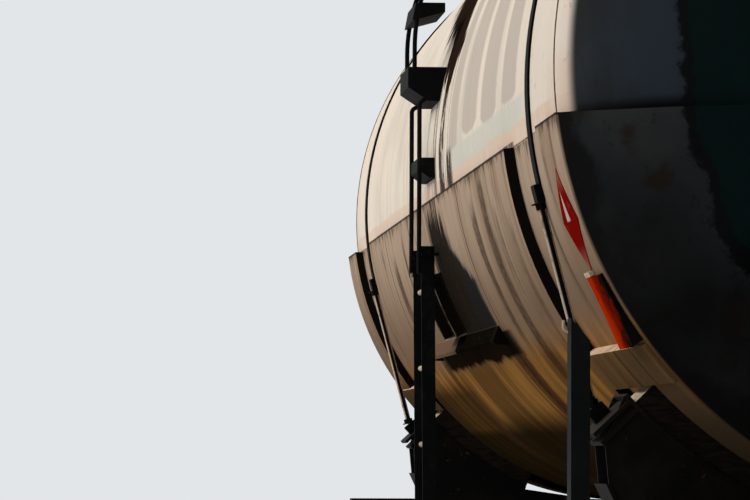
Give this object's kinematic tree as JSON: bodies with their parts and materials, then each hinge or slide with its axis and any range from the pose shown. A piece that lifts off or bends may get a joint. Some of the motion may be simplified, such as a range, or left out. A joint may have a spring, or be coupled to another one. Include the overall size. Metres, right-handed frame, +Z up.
{
  "type": "four-axle steam-jacketed railway tank car",
  "caption": "Railway tank car for viscous oil products: a cylindrical tank with a steam jacket round its lower half, on a center sill and three-piece bogies, with ladders and a platform.",
  "frame": {"origin": "middle of the car in plan, at the height of the wheel flanges' lowest points", "axes": "+X to the front end along the car, +Y to its left, +Z up"},
  "size_m": [12.2726, 3.2596, 4.7579],
  "materials": {
    "shell_paint": "weathered cream paint with rust and oil streaks",
    "jacket_paint": "weathered beige paint with rust and oil streaks",
    "black_paint": "worn matt black paint",
    "frame_paint": "black paint under brown dust",
    "strap_paint": "worn black paint",
    "cast_steel": "rough cast steel with brake dust",
    "wheel_steel": "rolled steel, bright only on the tread",
    "spring_steel": "dusty black spring steel",
    "oak_block": "weathered oiled timber"
  },
  "bodies": {
    "root": {"body_bolsters": "frame_paint", "bottom_outlet": "frame_paint", "brake_gear": "frame_paint", "brake_pipe": "frame_paint", "center_sill": "frame_paint", "corner_posts": "black_paint", "draft_gear": "cast_steel", "end_beams": "frame_paint", "hatch_neck": "black_paint", "jacket_aprons": "jacket_paint", "jacket_ends": "jacket_paint", "jacket_middle": "jacket_paint", "ladder_left": "black_paint", "ladder_right": "black_paint", "middle_feet": "frame_paint", "platform_deck": "black_paint", "platform_railing": "black_paint", "saddle_blocks": "oak_block", "safety_valve": "black_paint", "side_sills": "frame_paint", "steam_pipes": "frame_paint", "tank_shell": "shell_paint", "tank_straps": "strap_paint", "window_ledges": "jacket_paint"},
    "wheelset_1": {"axle_1": "wheel_steel", "wheels_1": "wheel_steel"},
    "wheelset_2": {"axle_2": "wheel_steel", "wheels_2": "wheel_steel"},
    "wheelset_3": {"axle_3": "wheel_steel", "wheels_3": "wheel_steel"},
    "wheelset_4": {"axle_4": "wheel_steel", "wheels_4": "wheel_steel"},
    "bogie_front": {"bogie_front_axle_boxes": "cast_steel", "bogie_front_bolster": "cast_steel", "bogie_front_brake_beams": "cast_steel", "bogie_front_side_frames": "cast_steel", "bogie_front_springs": "spring_steel"},
    "bogie_rear": {"bogie_rear_axle_boxes": "cast_steel", "bogie_rear_bolster": "cast_steel", "bogie_rear_brake_beams": "cast_steel", "bogie_rear_side_frames": "cast_steel", "bogie_rear_springs": "spring_steel"},
    "coupler_front": {"coupler_front": "cast_steel"},
    "coupler_rear": {"coupler_rear": "cast_steel"},
    "hatch_lid": {"hatch_lid": "black_paint"}
  },
  "joints": [
    {"name": "bogie_front_swivel", "type": "hinge", "parent": "root", "child": "bogie_front", "pos_m": [3.9, 0, 0.84], "axis": [0, 0, 1], "range_deg": [-4, 4]},
    {"name": "bogie_rear_swivel", "type": "hinge", "parent": "root", "child": "bogie_rear", "pos_m": [-3.9, 0, 0.84], "axis": [0, 0, 1], "range_deg": [-4, 4]},
    {"name": "wheelset_1_roll", "type": "hinge", "parent": "bogie_front", "child": "wheelset_1", "pos_m": [4.825, 0, 0.5065], "axis": [0, 1, 0], "continuous": true},
    {"name": "wheelset_2_roll", "type": "hinge", "parent": "bogie_front", "child": "wheelset_2", "pos_m": [2.975, 0, 0.5065], "axis": [0, 1, 0], "continuous": true},
    {"name": "wheelset_3_roll", "type": "hinge", "parent": "bogie_rear", "child": "wheelset_3", "pos_m": [-2.975, 0, 0.5065], "axis": [0, 1, 0], "continuous": true},
    {"name": "wheelset_4_roll", "type": "hinge", "parent": "bogie_rear", "child": "wheelset_4", "pos_m": [-4.825, 0, 0.5065], "axis": [0, 1, 0], "continuous": true},
    {"name": "hatch_lid_hinge", "type": "hinge", "parent": "root", "child": "hatch_lid", "pos_m": [-0.395, 0, 4.564], "axis": [0, -1, 0], "range_deg": [0, 105]},
    {"name": "coupler_front_swing", "type": "hinge", "parent": "root", "child": "coupler_front", "pos_m": [4.93, 0, 1.088], "axis": [0, 0, 1], "range_deg": [-4, 4]},
    {"name": "coupler_rear_swing", "type": "hinge", "parent": "root", "child": "coupler_rear", "pos_m": [-4.93, 0, 1.088], "axis": [0, 0, 1], "range_deg": [-4, 4]}
  ]
}
